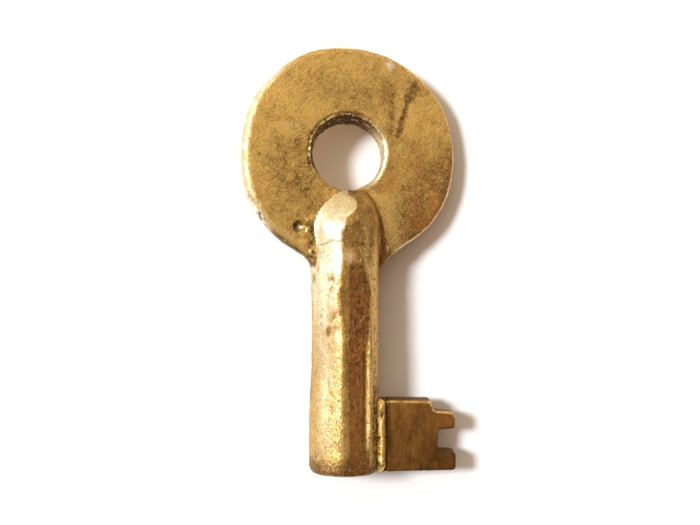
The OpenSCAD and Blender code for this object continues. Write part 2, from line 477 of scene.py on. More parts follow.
def bow_relief(k, x, y, z):
    """Dents, swellings and pits in the bow's surface, as height."""
    front = ease(0.4, 1.2, z)
    off, side = head_outline(k, x, y)
    past, beside = head_groove(x, y)
    fan = beside * peak(past, 1.1, 0.7)
    groove = beside * peak(past, 0.0, 0.22)
    seam = head_left(side) * peak(off, 0.7, 0.6)
    rough = grain(x, y, z, 0.55, k.seed + 3)
    height = front * (0.07 * fan - 0.30 * groove + 0.28 * seam * rough) + bow_swell(k, x, y, z)
    hole = hole_outline(k, x, y, z)
    torn = ease(-0.2, 0.7, np.cos(np.arctan2(y - k.hole_y, x) - math.radians(120)))
    ring = peak(hole, -0.52, 0.12)
    near = peak(hole, -0.1, 0.4)
    height += near * (0.05 + 0.22 * torn) * grain(x, y, z, 0.42, k.seed + 5)
    height -= 0.16 * ring * torn * front
    edge = peak(bow_outline(k, x, y), 0.0, 0.5)
    height += edge * 0.06 * grain(x, y, z, 0.6, k.seed + 6)
    for at_x, at_y, size, deep in BOW_PITS:
        bowl = ease(1.15, 0.55, np.hypot(x - at_x, y - at_y) / size)
        height -= front * deep * bowl
    return height


def rolled(x, z, turn):
    """Places across the key, seen from a frame that is turned about the barrel's axis."""
    c = math.cos(turn)
    s = math.sin(turn)
    return c * x + s * z, c * z - s * x


def facet_level(k, x, y, z):
    """Height over the plane of the filed facet of the barrel's head."""
    nx, ny, nz = Vector(FACET_WAY).normalized()
    return x * nx + (y - k.head_y) * ny + z * nz - FACET_STAND * k.barrel_r


def barrel_form(k, x, y, z):
    """The drilled shank with its ball end, its filed flats, its fork for the bow and its slot for the bit."""
    across = np.hypot(x, z)
    ball = np.sqrt(x * x + (y - k.head_y) ** 2 + z * z)
    waist = 0.17 * peak(y, 17.0, 6.5) * ease(0.0, -3.5, x)
    angle = bearing(x, z)
    rubbed = 0.24 * peak(angle, -45, 21) * band(y, -1.0, 5.0, 26.0, 29.5)
    off, side = head_outline(k, x, y)
    squared = 0.40 * peak(side, 55, 20) * ease(1.5, 3.5, off + k.foot_r)
    body = np.where(y > k.head_y, ball - squared, across) - k.barrel_r + waist + rubbed
    body = rounded(body, -y, 0.8)
    sway = lumps(0.0, y, 0.0, 4.6, k.seed + 11)
    aside = math.radians(RIDGE_FACING) - ROLL
    ridge = np.radians(RIDGE_FACING - np.interp(y, RIDGE_Y, RIDGE_TURN))
    stand = k.barrel_r * np.cos(ridge) + 0.5 * ease(29.8, 32.4, y)
    body = rounded(body, x * math.sin(aside) + z * math.cos(aside) - stand, 0.08 + 0.2 * ease(12.0, 6.0, y))
    for flat, deep, edge, wave, upper in BARREL_FLATS:
        a = math.radians(flat)
        stand = k.barrel_r - deep + wave * sway + (deep + 0.35) * ease(*upper, y)
        body = rounded(body, x * math.sin(a) + z * math.cos(a) - stand, edge)
    low = np.maximum(ease(-0.3, -2.4, x), ease(2.2, 0.6, y - k.head_y))
    body = rounded(body, facet_level(k, x, y, z), 0.06 + 0.6 * low)
    wall = across - k.bore_r
    drill = np.maximum(wall, (y - k.bore_deep) * DRILL_WAY[0] + wall * DRILL_WAY[1])
    mouth = (wall - BORE_CHAMFER + y) * 0.7071
    body = highest(body, -drill, -mouth)
    lap = np.minimum(bow_outline(k, x, y) - INSET, FORK_OPEN - y)
    fork = np.maximum(np.abs(z) - k.bow_half - 0.01, lap)
    bit_x, bit_z = rolled(x, z, k.twist)
    end = k.bit_root - 0.03 - bit_x
    slot = highest(np.abs(bit_z) - k.bit_half - INSET, end, y - k.bit_high - INSET)
    return highest(body, -fork, -slot)


def barrel_turn(x, z):
    """Angle round the barrel from straight up, in degrees."""
    return np.degrees(np.arctan2(x, z) + ROLL)


def barrel_crease(x, y, z):
    """The raised crease along the barrel's front, right of its flats, from 0 to 1."""
    turn = barrel_turn(x, z)
    ends = band(y, 0.6, 2.5, 26.6, 27.8)
    past = turn - np.interp(y, CREASE_Y, CREASE_TURN)
    wide = 2.2 + 0.6 * ease(23.0, 19.0, y) + ease(17.0, 12.0, y) * np.where(past < 0, 1.2, 0.2)
    return ends * peak(past, 0.0, wide)


def barrel_scratches(x, y, z):
    """Single scratches on the barrel's front, from 0 to 1."""
    marks = highest(*(streak(x, y, start, end, 0.10) for start, end in BARREL_SCRATCHES))
    return marks * ease(1.0, 2.0, z)


def barrel_shoulder(k, x, y, z):
    """The broken line under the barrel's head, from 0 to 1."""
    bend = 0.35 * lumps(x, 0.0 * y, 0.0 * z, 1.9, k.seed + 16)
    broken = ease(-0.3, 0.4, lumps(x, 0.0 * y, 0.0 * z, 0.8, k.seed + 17))
    return broken * ease(0.5, 2.0, z) * peak(y - bend, 28.1, 0.16)


def in_bore(k, x, y, z):
    """How near a place is to the bore's wall, from 0 outside to 1 inside."""
    return ease(k.bore_r + 0.7, k.bore_r + 0.2, np.hypot(x, z)) * ease(25.0, 23.0, y)


def barrel_relief(k, x, y, z):
    """Hammer and file marks, the shoulder under the head and grainy cast skin on the sides, as height."""
    angle = bearing(x, z)
    height = 0.03 * lumps(x, y, z, 4.0, k.seed + 13) + 0.02 * grain(x, y, z, 1.0, k.seed + 14)
    cast = ease(30, 38, angle) + ease(-56, -70, angle)
    height += cast * 0.05 * grain(x, y, z, 0.55, k.seed + 15)
    neck = band(y, 23.5, 27.0, 28.8, 31.0)
    height += 0.24 * neck * peak(angle, 42, 15)
    height += 0.12 * neck * ease(-55, -75, angle) * grain(x, y, z, 0.6, k.seed + 18)
    _, side = head_outline(k, x, y)
    ball = np.sqrt(x * x + np.maximum(y - k.head_y, 0.0) ** 2 + z * z)
    outer = ease(-0.6, -0.25, ball - k.barrel_r)
    foot = ease(26.8, 28.5, y) * outer * peak(np.abs(z), 1.6, 0.34)
    right = head_right(side)
    height += foot * (1 - right) * (0.34 + 0.10 * grain(x, y, z, 0.5, k.seed + 19))
    height += foot * right * 0.40 * ease(31.5, 28.0, y)
    lower = band(y, 2.0, 5.0, 14.0, 18.5)
    lip = 0.10 + 0.12 * ease(23.0, 19.0, y) + 0.18 * lower + 0.08 * band(y, 2.0, 4.0, 7.5, 10.5)
    height += lip * barrel_crease(x, y, z) - 0.07 * barrel_shoulder(k, x, y, z)
    beside = angle + math.degrees(ROLL) - np.interp(y, CREASE_Y, CREASE_TURN)
    height -= 0.12 * lower * peak(beside, -9.0, 5.0)
    height += 0.16 * ease(13.0, 7.0, y) * band(angle, -175, -130, -80, -35)
    height -= 0.03 * barrel_scratches(x, y, z)
    for at_x, at_y, size, deep in BARREL_DENTS:
        height -= ease(1.0, 2.5, z) * deep * spot(x, y, at_x, at_y, size, 1.4 * size)
    return (1 - in_bore(k, x, y, z)) * height


def bit_form(k, x, y, z):
    """The stepped plate with its ward cut."""
    back = 0.2 * ease(0.9, -0.9, z)
    top = k.bit_high - 0.03 - 0.03 * (x - k.bit_root) + back + 0.18 * ease(4.1, 4.9, x)
    outline = rounded(x - k.bit_tip + INSET, np.maximum(INSET - y, y - top), 0.5)
    outline = np.maximum(outline, k.bit_root - x)
    step_y = k.bit_high - STEP_DEEP - 0.08 * (x - k.bit_tip + 3.0)
    step = rounded(k.bit_tip - STEP_LONG - x + 0.25 * (top - y), step_y - y, 0.5)
    corner = 0.3 + 0.6 * ease(k.bit_tip - 2.2, k.bit_tip - 1.0, x)
    outline = rounded(outline, -step, corner)
    ward_low = k.bit_low + WARD_LOW
    ward_x = k.bit_tip - WARD_DEEP + 0.10 * (y - ward_low)
    lower = ward_low - 0.07 * (x - k.bit_tip + 2.3) + back
    upper = ward_low + WARD_WIDE + 0.06 * (x - k.bit_tip + 2.3)
    ward = rounded(ward_x - x, np.maximum(lower - y, y - upper), 0.35)
    outline = rounded(outline, -ward, 0.36)
    return rounded(outline, np.abs(z) - k.bit_half + INSET, 0.32)


def bit_relief(k, x, y, z):
    """Hand wear on the bit, as height."""
    height = 0.035 * lumps(x, y, z, 3.0, k.seed + 21) + 0.02 * grain(x, 0.4 * y, z, 0.8, k.seed + 22)
    groove = 0.12 * peak(x - k.corner_x, 0.82, 0.16)
    return ease(k.corner_x - 0.4, k.corner_x + 0.1, x) * (height - groove)


def bead_form(side, k, x, y, z):
    """A bead of braze along the root of the bit, on the front (1) or the back (-1)."""
    start = k.bit_low + k.bead_r + 0.35
    end = k.bit_high - k.bead_r + 0.1
    along = np.clip(y, start, end)
    thick = k.bead_r + 0.32 + 0.05 * lumps(0.0, along, 1.0 * side, 1.1, k.seed + 42)
    across = 1.25 * (x - k.corner_x + 0.06)
    bead = np.sqrt(across**2 + (y - along) ** 2 + (z - side * k.bit_half) ** 2) - thick
    lean = math.radians(14)
    flat = (side * z - k.bit_half - 0.86) * math.cos(lean) - (x - k.corner_x) * math.sin(lean)
    bead = rounded(bead, flat, 0.12)
    return highest(bead, k.barrel_r - 0.05 - np.hypot(x, z), k.bit_half - 0.05 - side * z)


def bead_relief(k, x, y, z):
    """Pits and drawn ripples in the braze, as height."""
    height = 0.05 * grain(x, 0.6 * y, z, 0.42, k.seed + 43)
    return height - 0.30 * spot(x - k.corner_x, y, *BEAD_PIT, 0.18, 0.38)


def fillet_form(side, radius, k, x, y, z):
    """A hollow braze fillet between the bow's rim and the barrel, on the right (1) or the left (-1)."""
    rim = bow_outline(k, x, y)
    across = np.hypot(x, z)
    body = filled(rim + 0.05, across - k.barrel_r + 0.06, radius)
    body = rounded(body, np.abs(z) - k.bow_half + INSET, 0.45)
    return highest(body, k.barrel_r - 0.3 - across, -rim - 0.04, 2.6 - side * x, FILLET_LOW - y)


def fillet_relief(k, x, y, z):
    """The bow's unevenness, lumpier on the left, as height."""
    rough = ease(1.0, -1.0, x) * ease(-0.1, 0.4, bow_outline(k, x, y))
    return bow_swell(k, x, y, z) + 0.10 * rough * grain(x, y, z, 0.7, k.seed + 51)


# Meshing

def surface_net(form, low, high, step):
    """Points and four-sided faces round the zero level of a field on a grid."""
    low = np.asarray(low, float)
    count = np.ceil((np.asarray(high, float) - low) / step).astype(int) + 1
    axes = [low[i] + step * np.arange(count[i]) for i in range(3)]
    value = form(*np.meshgrid(*axes, indexing="ij", sparse=True))
    value = np.broadcast_to(value, tuple(count))
    inside = value < 0
    if inside.sum() != inside[1:-1, 1:-1, 1:-1].sum():
        raise RuntimeError("A form runs out of its box")
    corners = [np.array(corner) for corner in np.ndindex(2, 2, 2)]
    ways = np.eye(3, dtype=int)
    full = np.zeros(tuple(count - 1), np.int8)
    for corner in corners:
        full += inside[tuple(slice(c, c + n - 1) for c, n in zip(corner, count))]
    cells = np.argwhere((full > 0) & (full < 8))
    number = np.full(tuple(count - 1), -1, np.int64)
    number[tuple(cells.T)] = np.arange(len(cells))
    total = np.zeros((len(cells), 3))
    hits = np.zeros(len(cells))
    for corner in corners:
        for way in ways[corner == 0]:
            here = value[tuple((cells + corner).T)]
            there = value[tuple((cells + corner + way).T)]
            cross = (here < 0) != (there < 0)
            t = np.where(cross, here / np.where(cross, here - there, 1.0), 0.0)
            total += np.where(cross[:, None], corner + t[:, None] * way, 0.0)
            hits += cross
    points = low + step * (cells + total / hits[:, None])
    faces = []
    for axis in range(3):
        u = ways[(axis + 1) % 3]
        v = ways[(axis + 2) % 3]
        at = np.argwhere(inside != np.roll(inside, -1, axis))
        ring = [number[tuple((at + turn).T)] for turn in (-u - v, -v, 0 * u, -u)]
        quads = np.stack(ring, 1)
        outward = inside[tuple(at.T)]
        faces.append(np.where(outward[:, None], quads, quads[:, ::-1]))
    return points, np.concatenate(faces)


def either_side(field, points, reach):
    """A field a short way ahead of points and behind them, along each axis."""
    for shift in reach * np.eye(3):
        yield field(*(points + shift).T), field(*(points - shift).T)


def slope(field, points, reach):
    """Gradient of a field at points."""
    pairs = either_side(field, points, reach)
    return np.stack([(ahead - behind) / (2 * reach) for ahead, behind in pairs], 1)


def settle(points, form, relief):
    """Moves points onto the surface of a form with its relief on it."""

    def field(x, y, z):
        return form(x, y, z) - relief(x, y, z)

    for _ in range(SETTLE_ROUNDS):
        level = field(*points.T)
        way = slope(field, points, SLOPE_REACH)
        steep = np.maximum((way**2).sum(1), 0.25)
        move = way * (level / steep)[:, None]
        far = np.linalg.norm(move, axis=1)
        points = points - move * np.minimum(1.0, LONGEST_MOVE / np.maximum(far, 1e-9))[:, None]
    return points


def bend_of(points, form, reach):
    """How far the surface bends outwards (above 0) or inwards (below 0) within reach."""
    middle = form(*points.T)
    around = 0.0
    for ahead, behind in either_side(form, points, reach):
        around = around + ahead + behind
    return (around / 6 - middle) / reach


def into_frame(points, roll):
    """From a piece's own frame, in millimetres, to the frame that the key lies in, in metres."""
    x, y, z = points.T
    across, up = rolled(x, z, roll)
    return np.stack((across, y, up), 1) * 0.001


def new_object(name, data):
    """A new object in the scene that shows this mesh, light or camera."""
    thing = bpy.data.objects.new(name, data)
    bpy.context.scene.collection.objects.link(thing)
    return thing


def make_piece(k, name, node, slot, material, form, relief, paint, box, step, roll=ROLL):
    """Meshes a form, paints its wear as attributes, painted highlights and painted shade among them, and puts
    it in the place of its solid.
    """
    form = partial(form, k)
    points, faces = surface_net(form, box[0], box[1], step)
    points = settle(points, form, partial(relief, k))
    bend = bend_of(points, form, BEND_REACH)
    placed = np.clip(into_frame(points, roll), CAD_LOW, CAD_HIGH)
    mesh = bpy.data.meshes.new(name)
    mesh.from_pydata(placed.tolist(), [], faces.tolist())
    mesh.polygons.foreach_set("use_smooth", np.ones(len(mesh.polygons), bool))
    for label, values in zip(MASKS, paint(k, points, bend)):
        attribute = mesh.attributes.new(label, "FLOAT", "POINT")
        attribute.data.foreach_set("value", np.clip(values, 0, 1).astype(np.float32))
    mesh.update()
    if mesh.validate():
        raise RuntimeError(f"{name} came out with faulty faces")
    mesh.materials.append(material)
    piece = new_object(name, mesh)
    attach(piece, "root")
    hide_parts(node)


# Painting: each of these gives the values of the masks at the points of a piece

def paint_bow(k, points, bend):
    """Wear of the bow and its neck: brown film, a smear, copper stains and grime along the seams, with
    painted highlights on the rim, round the hole and in two glints, and painted shade under the neck and on
    the hole's upper left wall.
    """
    x, y, z = points.T
    front = ease(0.3, 1.0, z)
    cloud = grain(x, y, z, 4.0, k.seed + 61)
    fleck = grain(x, y, z, 0.9, k.seed + 62)
    dots = grain(x, y, z, 0.45, k.seed + 64)
    off, side = head_outline(k, x, y)
    past, beside = head_groove(x, y)
    hole = hole_outline(k, x, y, z)
    outline = bow_outline(k, x, y)

    # Film and stains on the face
    handled = spot(x, y, -6.4, 36.6, 3.6, 4.6)
    film = 0.25 + 0.18 * cloud + 0.17 * fleck + front * 0.48 * handled * (0.8 + 0.4 * fleck)
    for much, *patch in BOW_FILM:
        film += front * much * spot(x, y, *patch)
    film += front * 0.32 * streak(x, y, (4.9, 47.6), (5.7, 40.5), 0.8)
    # The face is darker towards its lower right.
    film += front * 0.75 * ease(7.0, 16.0, x - 0.9 * (y - k.bow_y))
    smear = streak(x, y, (8.4, 47.4), (7.7, 46.0), 0.70)
    smear = highest(smear, streak(x, y, (7.7, 46.0), (6.3, 41.4), 0.45))
    film += front * 0.9 * ease(0.1, 1.0, smear + 0.5 * dots + 0.3 * fleck)
    film += front * 0.5 * streak(x, y, (5.6, 47.4), (5.5, 41.4), 0.35) * ease(-0.3, 0.3, dots)
    fan = front * beside * peak(past, 1.5, 1.4)
    stain = front * (spot(x, y, 5.3, 35.5, 0.9, 1.0) + spot(x, y, 11.0, 33.4, 0.7, 1.1))
    film -= 0.8 * stain + 0.45 * fan
    copper = 0.10 * ease(0.2, 0.8, cloud) + 0.8 * stain * (0.7 + 0.6 * fleck)
    copper += front * 0.95 * spot(x, y, 10.3, 31.2, 1.9, 2.0) * (0.6 + 0.9 * fleck)
    copper += front * 0.35 * spot(x, y, 8.8, 38.0, 1.6, 3.2)

    # Grime in the seams, round the torn hole, on the lower left rim and in the pits, and painted shade on the
    # hole's upper left wall
    groove = beside * peak(past, 0.0, 0.22) * ease(-0.45, 0.05, dots)
    flank = head_left(side) * peak(off, 0.4, 0.5) * ease(-0.35, 0.15, dots)
    torn = ease(-0.35, 0.4, np.cos(np.arctan2(y - k.hole_y, x) - math.radians(128)))
    # The hole's upper left wall faces away from the light: it is darkened as painted shade, broken up like
    # its grime.
    inner = torn * ease(-0.32, -0.20, hole)
    gold = inner * peak(z, 0.75, 0.28) * ease(0.15, -0.15, fleck)
    dirt = highest(
        0.8 * ease(0.06, 0.28, -bend),
        front * 0.5 * smear * ease(0.0, 0.4, dots),
        front * 0.55 * handled * ease(0.10, 0.40, dots),
        front * groove,
        front * 0.95 * flank,
        front * torn * peak(hole, -0.58, 0.12) * ease(-0.5, 0.0, dots),
        front * torn * 0.85 * peak(hole, -0.34, 0.2) * ease(-0.3, 0.1, dots),
        inner * ease(-1.0, -0.3, dots),
    )
    rim = ease(-0.45, -0.1, outline)
    low_left = rim * spot(x, y, -9.6, 31.6, 3.0, 3.4) * ease(-0.05, 0.20, dots) * ease(1.5, 1.2, z)
    dirt = highest(dirt * (1 - 0.9 * gold), low_left)
    for at_x, at_y, size, _ in BOW_PITS:
        dirt = highest(dirt, front * 0.9 * ease(1.15, 0.7, np.hypot(x - at_x, y - at_y) / size))
    # Painted glint in the large pit, kept clear of grime.
    glint = front * spot(x, y, -5.85, 30.0, 0.30, 0.36)
    dirt = dirt * (1 - glint)

    # The rim: pale on the left, where it is handled and a painted highlight lies; painted shade on its wall
    # under the neck; painted highlights just inside that wall and on the upper right edge
    round_rim = bearing(y - k.bow_y, x - k.bow_x) % 360
    under = band(round_rim, 216, 228, 258, 266) * ease(24.8, 25.8, y)
    # Painted highlight on the left rim, which faces the window, over its handled wear.
    pale = ease(-1.0, -0.2, outline) * ease(-5.0, -10.0, x) * ease(-1.4, 0.2, z) * (1 - under)
    # Painted highlight on the left outer wall, which faces the window.
    side_wall = rim * ease(1.0, 0.5, z) * ease(-4.0, -8.0, x) * (1 - under)
    neck_end = ease(-3.5, -4.3, x) * ease(25.8, 24.8, y)
    # Painted highlight just inside the rim under the neck, where the rounding catches the light.
    inset = under * front * peak(outline, -0.75, 0.45)
    edge = ease(-0.40, -0.15, outline)
    # Painted shade: the rim wall under the neck, which faces down and away from the light, gets thick film
    # and grime.
    under = under * edge * ease(1.6, 1.2, z)
    # Painted highlight along the upper right edge of the rim.
    far_rim = edge * ease(4.0, 8.0, x) * ease(46.0, 36.0, y)
    film = film * (1 - neck_end) * (1 - 0.8 * side_wall) - 0.5 * inset
    film = highest(film, under) * (1 - 0.8 * far_rim)
    dirt = highest(dirt, under * (0.55 + 0.8 * dots))

    # Rubbed brass, and painted highlights: those of the rim marked above, the hole's right side and two
    # glints
    rays = ease(0.1, 0.6, lumps(side / 1.3, 0.0, 0.0, 1.0, k.seed + 65))
    scuff = front * spot(x, y, -7.4, 42.2, 1.2, 0.45) * ease(0.0, 0.3, dots)
    # The hole's right side is worn round and faces the light, and carries a painted highlight.
    chafed_and_lit = hole_right(k, x, y) * ease(-0.75, -0.3, hole) * ease(-0.8, 0.2, z)
    flakes = torn * peak(hole, -0.40, 0.10) * front * ease(0.0, -0.25, dots)
    bright = highest(
        pale * (0.70 + 0.5 * fleck),
        fan * (0.03 + 0.22 * rays),
        side_wall * (1.0 + 0.4 * fleck),
        neck_end * (0.6 + 0.4 * fleck),
        inset * (0.10 + 0.3 * fleck),
        0.5 * scuff,
        0.55 * far_rim * ease(0.5, 1.0, z),
        0.5 * gold,
        chafed_and_lit * (0.75 + 0.5 * dots),
        0.5 * flakes,
        # Painted glint: a pale spot high on the right of the face.
        front * spot(x, y, 5.35, 50.0, 0.6, 0.55),
        glint,
    )
    return film, copper, dirt * (1 - 0.9 * flakes), bright


def paint_barrel(k, points, bend):
    """Wear of the barrel: a rubbed left side under a painted highlight, brown flats, painted highlights along
    the crease, on the filed facet and on the head's left, painted shade at the lower end, and grime round the
    head and the bit's root.
    """
    x, y, z = points.T
    cloud = grain(x, 0.6 * y, z, 3.0, k.seed + 71)
    fleck = grain(x, y, z, 0.8, k.seed + 72)
    drawn = grain(x, 0.15 * y, z, 0.6, k.seed + 74)
    dots = grain(x, y, z, 0.42, k.seed + 75)
    grit = grain(x, y, z, 0.30, k.seed + 76)
    turn = barrel_turn(x, z)
    past = turn - np.interp(y, CREASE_Y, CREASE_TURN)
    ridge = turn - np.interp(y, RIDGE_Y, RIDGE_TURN)
    off, side = head_outline(k, x, y)
    below = ease(27.5, 26.0, y)
    front = ease(1.0, 2.0, z)
    bore = in_bore(k, x, y, z)

    # Film and stains
    olive = ease(-3, 2, ridge) * ease(6, -6, past - 55 * ease(24.5, 30.0, y))
    arch = 25.7 - 0.004 * (turn - 17) ** 2
    in_arch = ease(0.3, -0.3, y - arch)
    brown = ease(6, 11, turn) * ease(-1, -3, past) * in_arch
    rift = peak(turn, 10.5, 2.6) * in_arch * ease(8.0, 13.0, y)
    foot = head_right(side) * ease(27.0, 28.5, y) * peak(off, -0.45, 0.4) * front
    film = 0.24 + 0.22 * cloud + 0.18 * fleck + 0.14 * drawn
    # The region right of the ridge is darker, more so on the head.
    film += olive * (0.36 + 0.12 * ease(27.0, 29.0, y)) + 0.5 * rift
    film += brown * (0.44 + 0.3 * ease(11.0, 7.0, y))
    film += 0.25 * ease(-60, -90, turn) - 0.08 * ease(0, 12, past) * ease(190, 120, turn)
    # The first term darkens the lower end as painted shade.
    film += 0.62 * ease(3.0, 0.8, y) - 0.42 * foot
    patchy = ease(0.0, 0.7, lumps(x, y, z, 3.0, k.seed + 73))
    copper = 0.10 * ease(0.1, 0.7, cloud) + brown * (0.15 + 0.4 * patchy)
    copper += 0.38 * brown * band(y, 3.0, 8.0, 16.0, 22.0)
    worn = 0.0
    for patch in BARREL_WORN:
        worn += spot(turn, y, *patch)
    worn = np.minimum(worn, 1.0) * ease(-0.7, 0.0, fleck)
    film += 0.6 * worn
    copper += 0.5 * worn

    # Grime round the head, in the strip beside the bit, on the flats and in the bore, and painted shade at
    # the lower end
    seam = ease(0.35, 0.0, np.abs(z) - k.bow_half) * ease(26.5, 28.0, y) * ease(1.4, 2.2, x)
    strip = ease(1, 4, past) * ease(115, 85, turn) * below
    low = strip * ease(12.5, 9.0, y) * ease(48, 54, turn)
    dirt = highest(
        0.8 * ease(0.06, 0.28, -bend) * ease(-0.5, 1.0, x) * below,
        0.35 * barrel_shoulder(k, x, y, z) * ease(-0.3, 0.5, fleck),
        0.9 * seam,
        0.7 * ease(0.18, 0.46, grit) * strip,
        rift * (0.30 + 0.4 * grit),
        # Painted shade at the lower end.
        0.2 * ease(2.4, 0.8, y) * ease(-0.6, 0.3, fleck),
        low * (0.15 + 0.85 * ease(-0.15, 0.15, grit)),
        0.4 * worn,
        0.7 * ease(0.38, 0.52, dots) * front * below * (0.5 + 0.5 * brown),
        (0.10 + 0.55 * ease(10.0, 16.0, y)) * brown * ease(0.15, 0.42, grit),
        0.75 * bore,
    )

    # Rubbed brass, and painted highlights on the left side, the head's lit left, the crease and the filed
    # facet
    high = ease(12.0, 26.0, y)
    # Painted highlight on the left side, which faces the window, over its rubbed brass: stronger higher up
    # and along a stripe.
    left = ease(-78 - 14 * high, -52 - 10 * high, turn) * ease(0, -4, ridge) * ease(-2.0, 8.0, y)
    highlight_stripe = (1 - high) * peak(turn, -37, 15)
    pale = spot(turn, y, 7, 26.5, 7, 0.8)
    # The crease and its left flank carry a painted highlight and keep no film or copper.
    start = -5 - 5 * ease(18.5, 14.0, y)
    rise = ease(start, start + 3, past) * ease(1, -1, past) * band(y, 1.0, 4.0, 19.0, 23.0)
    crease = highest(barrel_crease(x, y, z), rise)
    facet = ease(-0.14, -0.05, facet_level(k, x, y, z))
    # Painted highlight on the head's lit left side.
    lit = ease(28.5, 30.0, y) * ease(1, -5, turn - np.interp(y, (28.0, 34.0), (-4, 12))) * (1 - facet)
    bright = highest(
        left * (0.18 + 0.38 * highlight_stripe + 0.80 * high + 0.26 * fleck + 0.18 * drawn),
        0.10 * foot,
        pale * (0.6 + 0.5 * fleck),
        0.13 * crease,
        0.6 * barrel_scratches(x, y, z),
        lit * ease(0.4, 1.4, z),
    )
    # The filed facet is painted pale, paler towards its top: filed brass under a painted highlight.
    filed = 0.42 + 0.36 * ease(33.4, 30.6, y + 0.5 * x) + 0.12 * fleck
    bright = (bright * (1 - facet) + filed * facet) * (1 - bore) * (1 - 0.9 * worn)
    film = (film - 0.5 * pale) * (1 - crease) * (1 - 0.9 * facet)
    return film, copper * (1 - rise), dirt, bright


def paint_bit(k, points, bend):
    """Wear of the bit: a brown film drawn out along it, darker towards the bottom and the tip as painted
    shade, painted shade on its top wall and lower edges, and rubbed brass under a painted highlight along its
    upper edges.
    """
    x, y, z = points.T
    cloud = grain(x, y, z, 2.6, k.seed + 81)
    fleck = grain(x, y, z, 0.7, k.seed + 82)
    drawn = grain(x, 0.10 * y, z, 0.36, k.seed + 83)
    blots = grain(x, 0.3 * y, z, 1.2, k.seed + 84)
    root = x - k.corner_x
    edge = ease(0.04, 0.16, bend)
    upper = ease(6.2, 7.2, y)
    tooth = ease(4.9, 5.4, y) * ease(k.bit_tip - 0.6, k.bit_tip - 0.2, x)
    film = 0.44 + 0.34 * cloud + 0.18 * fleck + 0.16 * drawn
    # Painted shade: the film thickens towards the bottom and the tip.
    film += 0.25 * ease(7.5, 1.0, y) + 0.20 * ease(6.0, 12.0, x)
    film -= 0.35 * spot(x, y, 12.6, 6.2, 1.0, 0.7)
    copper = 0.25 * ease(0.0, 0.8, cloud)
    copper += 0.9 * spot(x, y, 12.5, 6.1, 0.9, 0.6) * ease(-0.4, 0.3, fleck)
    dirt = highest(
        0.8 * ease(0.08, 0.3, -bend),
        0.9 * peak(root, 0.80, 0.16),
        0.65 * peak(root, 1.3, 0.5) * ease(-0.5, 0.3, drawn),
        # Painted shade on the lower edges.
        0.6 * edge * (1 - upper) * ease(5.4, 4.9, y),
        # Painted shade on the top wall.
        0.7 * ease(0.9, 0.6, np.abs(z)) * ease(6.8, 7.1, y),
        0.30 * ease(0.2, 0.6, blots),
    )
    # Rubbed brass under a painted highlight on the upper edges and tooth ends, which face the light.
    bright = edge * highest(upper, tooth) * ease(0.4, 0.9, z) * (0.85 + 0.7 * fleck)
    return film, copper, dirt, bright


def paint_braze(k, points, bend):
    """Wear of the bit's beads: paled all over as rubbed brass and painted highlight, dark where they meet
    their neighbours and in their pits.
    """
    x, y, z = points.T
    fleck = grain(x, 0.6 * y, z, 0.5, k.seed + 91)
    holes = grain(x, 0.7 * y, z, 0.34, k.seed + 92)
    dirt = highest(
        0.8 * ease(0.08, 0.35, -bend),
        spot(x - k.corner_x, y, *BEAD_PIT, 0.18, 0.36),
        0.85 * ease(0.28, 0.48, holes),
    )
    # The beads are paled all over, partly as a painted highlight, under little film.
    return -0.12 + 0.26 * fleck, 0.0 * x, dirt, 0.08 + 0.24 * fleck


# Shader node groups and materials

def node_group(name, inputs, outputs):
    """An empty shader group with these sockets, each of them a label and a kind."""
    group = bpy.data.node_groups.new(name, "ShaderNodeTree")
    for way, sockets in (("INPUT", inputs), ("OUTPUT", outputs)):
        for label, kind in sockets.items():
            group.interface.new_socket(label, in_out=way, socket_type=kind)
    start = group.nodes.new("NodeGroupInput")
    end = group.nodes.new("NodeGroupOutput")
    return group, start.outputs, end.inputs


def add(tree, kind, values=(), **settings):
    """A node with its settings and the values of its named or numbered inputs."""
    node = tree.nodes.new(kind)
    for key, value in settings.items():
        setattr(node, key, value)
    for key, value in dict(values).items():
        if isinstance(value, bpy.types.NodeSocket):
            tree.links.new(value, node.inputs[key])
        else:
            node.inputs[key].default_value = value
    return node


def math_node(tree, kind, a, b=0.0, c=0.0, clamp=False):
    """One sum on two or three values."""
    return add(tree, "ShaderNodeMath", {0: a, 1: b, 2: c}, operation=kind, use_clamp=clamp).outputs[0]


def mix_colour(tree, share, a, b):
    """Two colours mixed by a share."""
    values = {0: share, 6: a, 7: b}
    return add(tree, "ShaderNodeMix", values, data_type="RGBA").outputs[2]


def noise(tree, place, scale, detail, roughness):
    """Noise at a place, about 0.5."""
    values = {"Vector": place, "Scale": scale, "Detail": detail, "Roughness": roughness}
    return add(tree, "ShaderNodeTexNoise", values).outputs["Fac"]


def spread(tree, value, low, high, start=0.0, end=1.0, kind="LINEAR"):
    """A value brought from one range to another, and held within it."""
    values = {0: value, 1: low, 2: high, 3: start, 4: end}
    return add(tree, "ShaderNodeMapRange", values, interpolation_type=kind).outputs[0]


def stretched(tree, place, stretch):
    """A place times a factor for each axis."""
    return add(tree, "ShaderNodeVectorMath", {0: place, 1: stretch}, operation="MULTIPLY").outputs[0]


def line_noise(tree, place, turn, stretch):
    """Noise drawn out into lines that lean over by an angle."""
    values = {"Vector": place, "Axis": (0, 0, 1), "Angle": turn}
    turned = add(tree, "ShaderNodeVectorRotate", values).outputs[0]
    return noise(tree, stretched(tree, turned, stretch), 1.0, 3.0, 0.6)


def in_millimetres(tree, stretch):
    """Place on the object, in millimetres, stretched along an axis where its factor is below 1."""
    place = add(tree, "ShaderNodeTexCoord").outputs["Object"]
    place = add(tree, "ShaderNodeVectorMath", {0: place, 3: 1000.0}, operation="SCALE").outputs[0]
    return stretched(tree, place, stretch)


def mask(tree, name):
    """A wear mask that was painted on the mesh."""
    return add(tree, "ShaderNodeAttribute", attribute_name=name).outputs["Fac"]


